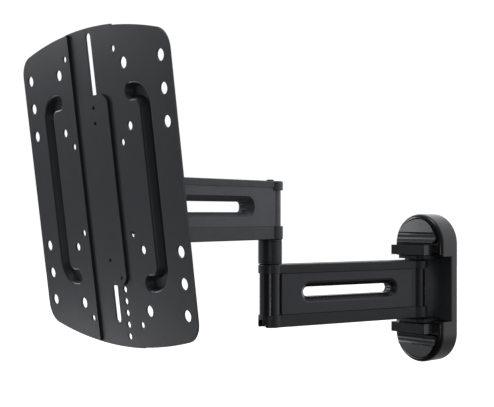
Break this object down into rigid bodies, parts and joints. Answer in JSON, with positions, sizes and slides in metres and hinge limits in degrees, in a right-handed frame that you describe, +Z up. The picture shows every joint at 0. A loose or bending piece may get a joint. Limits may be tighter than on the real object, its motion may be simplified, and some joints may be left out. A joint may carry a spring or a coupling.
{
  "type": "full motion television wall mount",
  "caption": "Wall mount with jointed swivelling arms, a swivelling and tilting head, and a steel plate with square bolt patterns that slides up and down.",
  "frame": {"origin": "middle of the wall base's back face, on the wall", "axes": "+Y into the wall, +Z up, +X to the right for someone who faces the wall"},
  "size_m": [0.224, 0.4543, 0.3181],
  "materials": {
    "plate_steel": "fine-textured charcoal powder coat on pressed steel",
    "bracket_steel": "black powder coat on folded steel",
    "arm_core_black": "satin black paint on cast aluminium",
    "arm_panel_grey": "satin charcoal paint on pressed aluminium",
    "arm_cover_plastic": "fine-grained black moulded plastic",
    "base_gloss_plastic": "satin-gloss black moulded plastic",
    "cap_gloss_plastic": "glossy black moulded plastic",
    "base_panel_matte": "matt black moulded plastic",
    "black_screw_steel": "black oxide on steel screws, bolts and nuts",
    "zinc_steel": "bright zinc plate on steel",
    "nylon": "black nylon"
  },
  "bodies": {
    "wall_base": {"wall_plate": "bracket_steel", "pivot_bracket": "bracket_steel", "bracket_screws": "zinc_steel", "base_cover": "base_gloss_plastic", "centre_panel": "base_panel_matte", "upper_cap": "cap_gloss_plastic", "lower_cap": "cap_gloss_plastic", "wall_pivot_bolt": "black_screw_steel", "wall_pivot_nut": "black_screw_steel"},
    "lower_arm": {"lower_arm_core": "arm_core_black", "lower_arm_panel_right": "arm_panel_grey", "lower_arm_panel_left": "arm_panel_grey", "lower_arm_top_cover": "arm_cover_plastic", "lower_arm_cable_tray": "arm_cover_plastic", "wall_pivot_bushes": "nylon", "elbow_bushes": "nylon"},
    "upper_arm": {"elbow_post": "arm_cover_plastic", "elbow_bolt": "black_screw_steel", "elbow_washer": "black_screw_steel", "elbow_nut": "black_screw_steel", "upper_arm_core": "arm_panel_grey", "upper_arm_panel_right": "arm_panel_grey", "upper_arm_panel_left": "arm_panel_grey", "upper_arm_top_cover": "arm_cover_plastic", "upper_arm_cable_tray": "arm_cover_plastic", "elbow_cap": "arm_cover_plastic", "head_bushes": "nylon"},
    "swivel_head": {"swivel_yoke": "bracket_steel", "head_bolt": "zinc_steel", "head_washer": "zinc_steel", "head_nut": "zinc_steel"},
    "tilt_frame": {"tilt_bracket": "bracket_steel", "tilt_bolts": "black_screw_steel", "tilt_washers": "nylon", "tilt_nuts": "zinc_steel", "retaining_strip": "plate_steel", "strip_screws": "black_screw_steel", "guide_sleeves": "nylon", "strip_nuts": "zinc_steel", "index_screw": "black_screw_steel"},
    "tv_plate": {"centre_plate": "plate_steel", "left_wing": "plate_steel", "right_wing": "plate_steel", "wing_rivets": "plate_steel"}
  },
  "joints": [
    {"name": "wall_swivel", "type": "hinge", "parent": "wall_base", "child": "lower_arm", "pos_m": [0, -0.0317, 0], "axis": [0, 0, 1], "range_deg": [-80.2, 99.8]},
    {"name": "elbow_swivel", "type": "hinge", "parent": "lower_arm", "child": "upper_arm", "pos_m": [-0.03234, -0.21893, 0], "axis": [0, 0, -1], "range_deg": [-99.85, 140.15]},
    {"name": "head_swivel", "type": "hinge", "parent": "upper_arm", "child": "swivel_head", "pos_m": [0, -0.396, 0.0859], "axis": [0, 0, 1], "range_deg": [-79.65, 100.35]},
    {"name": "tilt", "type": "hinge", "parent": "swivel_head", "child": "tilt_frame", "pos_m": [0, -0.4185, 0.0859], "axis": [1, 0, 0], "range_deg": [-12.4, 7.6]},
    {"name": "height_slide", "type": "slide", "parent": "tilt_frame", "child": "tv_plate", "axis": [0, -0.1288, 0.9917], "range_m": [-0.05, 0.05]}
  ]
}
